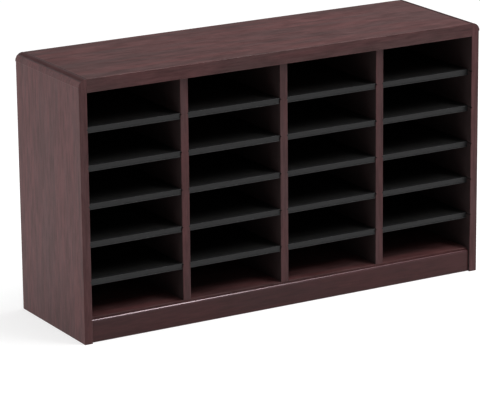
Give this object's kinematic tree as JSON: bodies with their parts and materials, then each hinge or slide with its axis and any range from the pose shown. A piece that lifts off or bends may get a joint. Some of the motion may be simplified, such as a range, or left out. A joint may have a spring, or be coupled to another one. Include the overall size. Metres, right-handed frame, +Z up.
{
  "type": "pigeonhole mail sorter",
  "caption": "Desktop pigeonhole mail sorter of dark mahogany laminated board, with upright dividers and thin black shelves that slide out, each with a plastic label strip.",
  "frame": {"origin": "on the floor, under the middle of the sorter's footprint", "axes": "+X to the right seen from the front, +Y to the back, +Z up"},
  "size_m": [1.016, 0.2986, 0.584],
  "materials": {
    "mahogany_laminate": "satin woodgrain laminate on board",
    "edge_band": "satin plastic edge band, woodgrain print",
    "corner_moulding": "satin plastic moulding, mahogany brown",
    "rail_vinyl": "semi-gloss woodgrain vinyl wrapped on board",
    "dark_melamine": "satin dark brown melamine on board",
    "black_hardboard": "matt black hardboard",
    "label_plastic": "satin dark grey plastic extrusion"
  },
  "bodies": {
    "carcass": {"left_side_panel": "mahogany_laminate", "left_side_panel_edge_band": "edge_band", "right_side_panel": "mahogany_laminate", "right_side_panel_edge_band": "edge_band", "left_corner_moulding": "corner_moulding", "right_corner_moulding": "corner_moulding", "top_panel": "mahogany_laminate", "top_panel_edge_band": "edge_band", "bottom_panel": "mahogany_laminate", "base_rail": "rail_vinyl", "divider_1": "dark_melamine", "divider_1_edge_band": "edge_band", "divider_2": "dark_melamine", "divider_2_edge_band": "edge_band", "divider_3": "dark_melamine", "divider_3_edge_band": "edge_band", "back_panel": "black_hardboard"},
    "pull_out_row_1_column_1": {"shelf_row_1_column_1": "black_hardboard", "label_strip_row_1_column_1": "label_plastic"},
    "pull_out_row_1_column_2": {"shelf_row_1_column_2": "black_hardboard", "label_strip_row_1_column_2": "label_plastic"},
    "pull_out_row_1_column_3": {"shelf_row_1_column_3": "black_hardboard", "label_strip_row_1_column_3": "label_plastic"},
    "pull_out_row_1_column_4": {"shelf_row_1_column_4": "black_hardboard", "label_strip_row_1_column_4": "label_plastic"},
    "pull_out_row_2_column_1": {"shelf_row_2_column_1": "black_hardboard", "label_strip_row_2_column_1": "label_plastic"},
    "pull_out_row_2_column_2": {"shelf_row_2_column_2": "black_hardboard", "label_strip_row_2_column_2": "label_plastic"},
    "pull_out_row_2_column_3": {"shelf_row_2_column_3": "black_hardboard", "label_strip_row_2_column_3": "label_plastic"},
    "pull_out_row_2_column_4": {"shelf_row_2_column_4": "black_hardboard", "label_strip_row_2_column_4": "label_plastic"},
    "pull_out_row_3_column_1": {"shelf_row_3_column_1": "black_hardboard", "label_strip_row_3_column_1": "label_plastic"},
    "pull_out_row_3_column_2": {"shelf_row_3_column_2": "black_hardboard", "label_strip_row_3_column_2": "label_plastic"},
    "pull_out_row_3_column_3": {"shelf_row_3_column_3": "black_hardboard", "label_strip_row_3_column_3": "label_plastic"},
    "pull_out_row_3_column_4": {"shelf_row_3_column_4": "black_hardboard", "label_strip_row_3_column_4": "label_plastic"},
    "pull_out_row_4_column_1": {"shelf_row_4_column_1": "black_hardboard", "label_strip_row_4_column_1": "label_plastic"},
    "pull_out_row_4_column_2": {"shelf_row_4_column_2": "black_hardboard", "label_strip_row_4_column_2": "label_plastic"},
    "pull_out_row_4_column_3": {"shelf_row_4_column_3": "black_hardboard", "label_strip_row_4_column_3": "label_plastic"},
    "pull_out_row_4_column_4": {"shelf_row_4_column_4": "black_hardboard", "label_strip_row_4_column_4": "label_plastic"},
    "pull_out_row_5_column_1": {"shelf_row_5_column_1": "black_hardboard", "label_strip_row_5_column_1": "label_plastic"},
    "pull_out_row_5_column_2": {"shelf_row_5_column_2": "black_hardboard", "label_strip_row_5_column_2": "label_plastic"},
    "pull_out_row_5_column_3": {"shelf_row_5_column_3": "black_hardboard", "label_strip_row_5_column_3": "label_plastic"},
    "pull_out_row_5_column_4": {"shelf_row_5_column_4": "black_hardboard", "label_strip_row_5_column_4": "label_plastic"}
  },
  "joints": [
    {"name": "slide_row_1_column_1", "type": "slide", "parent": "carcass", "child": "pull_out_row_1_column_1", "axis": [0, -1, 0], "range_m": [0, 0.2]},
    {"name": "slide_row_1_column_2", "type": "slide", "parent": "carcass", "child": "pull_out_row_1_column_2", "axis": [0, -1, 0], "range_m": [0, 0.2]},
    {"name": "slide_row_1_column_3", "type": "slide", "parent": "carcass", "child": "pull_out_row_1_column_3", "axis": [0, -1, 0], "range_m": [0, 0.2]},
    {"name": "slide_row_1_column_4", "type": "slide", "parent": "carcass", "child": "pull_out_row_1_column_4", "axis": [0, -1, 0], "range_m": [0, 0.2]},
    {"name": "slide_row_2_column_1", "type": "slide", "parent": "carcass", "child": "pull_out_row_2_column_1", "axis": [0, -1, 0], "range_m": [0, 0.2]},
    {"name": "slide_row_2_column_2", "type": "slide", "parent": "carcass", "child": "pull_out_row_2_column_2", "axis": [0, -1, 0], "range_m": [0, 0.2]},
    {"name": "slide_row_2_column_3", "type": "slide", "parent": "carcass", "child": "pull_out_row_2_column_3", "axis": [0, -1, 0], "range_m": [0, 0.2]},
    {"name": "slide_row_2_column_4", "type": "slide", "parent": "carcass", "child": "pull_out_row_2_column_4", "axis": [0, -1, 0], "range_m": [0, 0.2]},
    {"name": "slide_row_3_column_1", "type": "slide", "parent": "carcass", "child": "pull_out_row_3_column_1", "axis": [0, -1, 0], "range_m": [0, 0.2]},
    {"name": "slide_row_3_column_2", "type": "slide", "parent": "carcass", "child": "pull_out_row_3_column_2", "axis": [0, -1, 0], "range_m": [0, 0.2]},
    {"name": "slide_row_3_column_3", "type": "slide", "parent": "carcass", "child": "pull_out_row_3_column_3", "axis": [0, -1, 0], "range_m": [0, 0.2]},
    {"name": "slide_row_3_column_4", "type": "slide", "parent": "carcass", "child": "pull_out_row_3_column_4", "axis": [0, -1, 0], "range_m": [0, 0.2]},
    {"name": "slide_row_4_column_1", "type": "slide", "parent": "carcass", "child": "pull_out_row_4_column_1", "axis": [0, -1, 0], "range_m": [0, 0.2]},
    {"name": "slide_row_4_column_2", "type": "slide", "parent": "carcass", "child": "pull_out_row_4_column_2", "axis": [0, -1, 0], "range_m": [0, 0.2]},
    {"name": "slide_row_4_column_3", "type": "slide", "parent": "carcass", "child": "pull_out_row_4_column_3", "axis": [0, -1, 0], "range_m": [0, 0.2]},
    {"name": "slide_row_4_column_4", "type": "slide", "parent": "carcass", "child": "pull_out_row_4_column_4", "axis": [0, -1, 0], "range_m": [0, 0.2]},
    {"name": "slide_row_5_column_1", "type": "slide", "parent": "carcass", "child": "pull_out_row_5_column_1", "axis": [0, -1, 0], "range_m": [0, 0.2]},
    {"name": "slide_row_5_column_2", "type": "slide", "parent": "carcass", "child": "pull_out_row_5_column_2", "axis": [0, -1, 0], "range_m": [0, 0.2]},
    {"name": "slide_row_5_column_3", "type": "slide", "parent": "carcass", "child": "pull_out_row_5_column_3", "axis": [0, -1, 0], "range_m": [0, 0.2]},
    {"name": "slide_row_5_column_4", "type": "slide", "parent": "carcass", "child": "pull_out_row_5_column_4", "axis": [0, -1, 0], "range_m": [0, 0.2]}
  ]
}
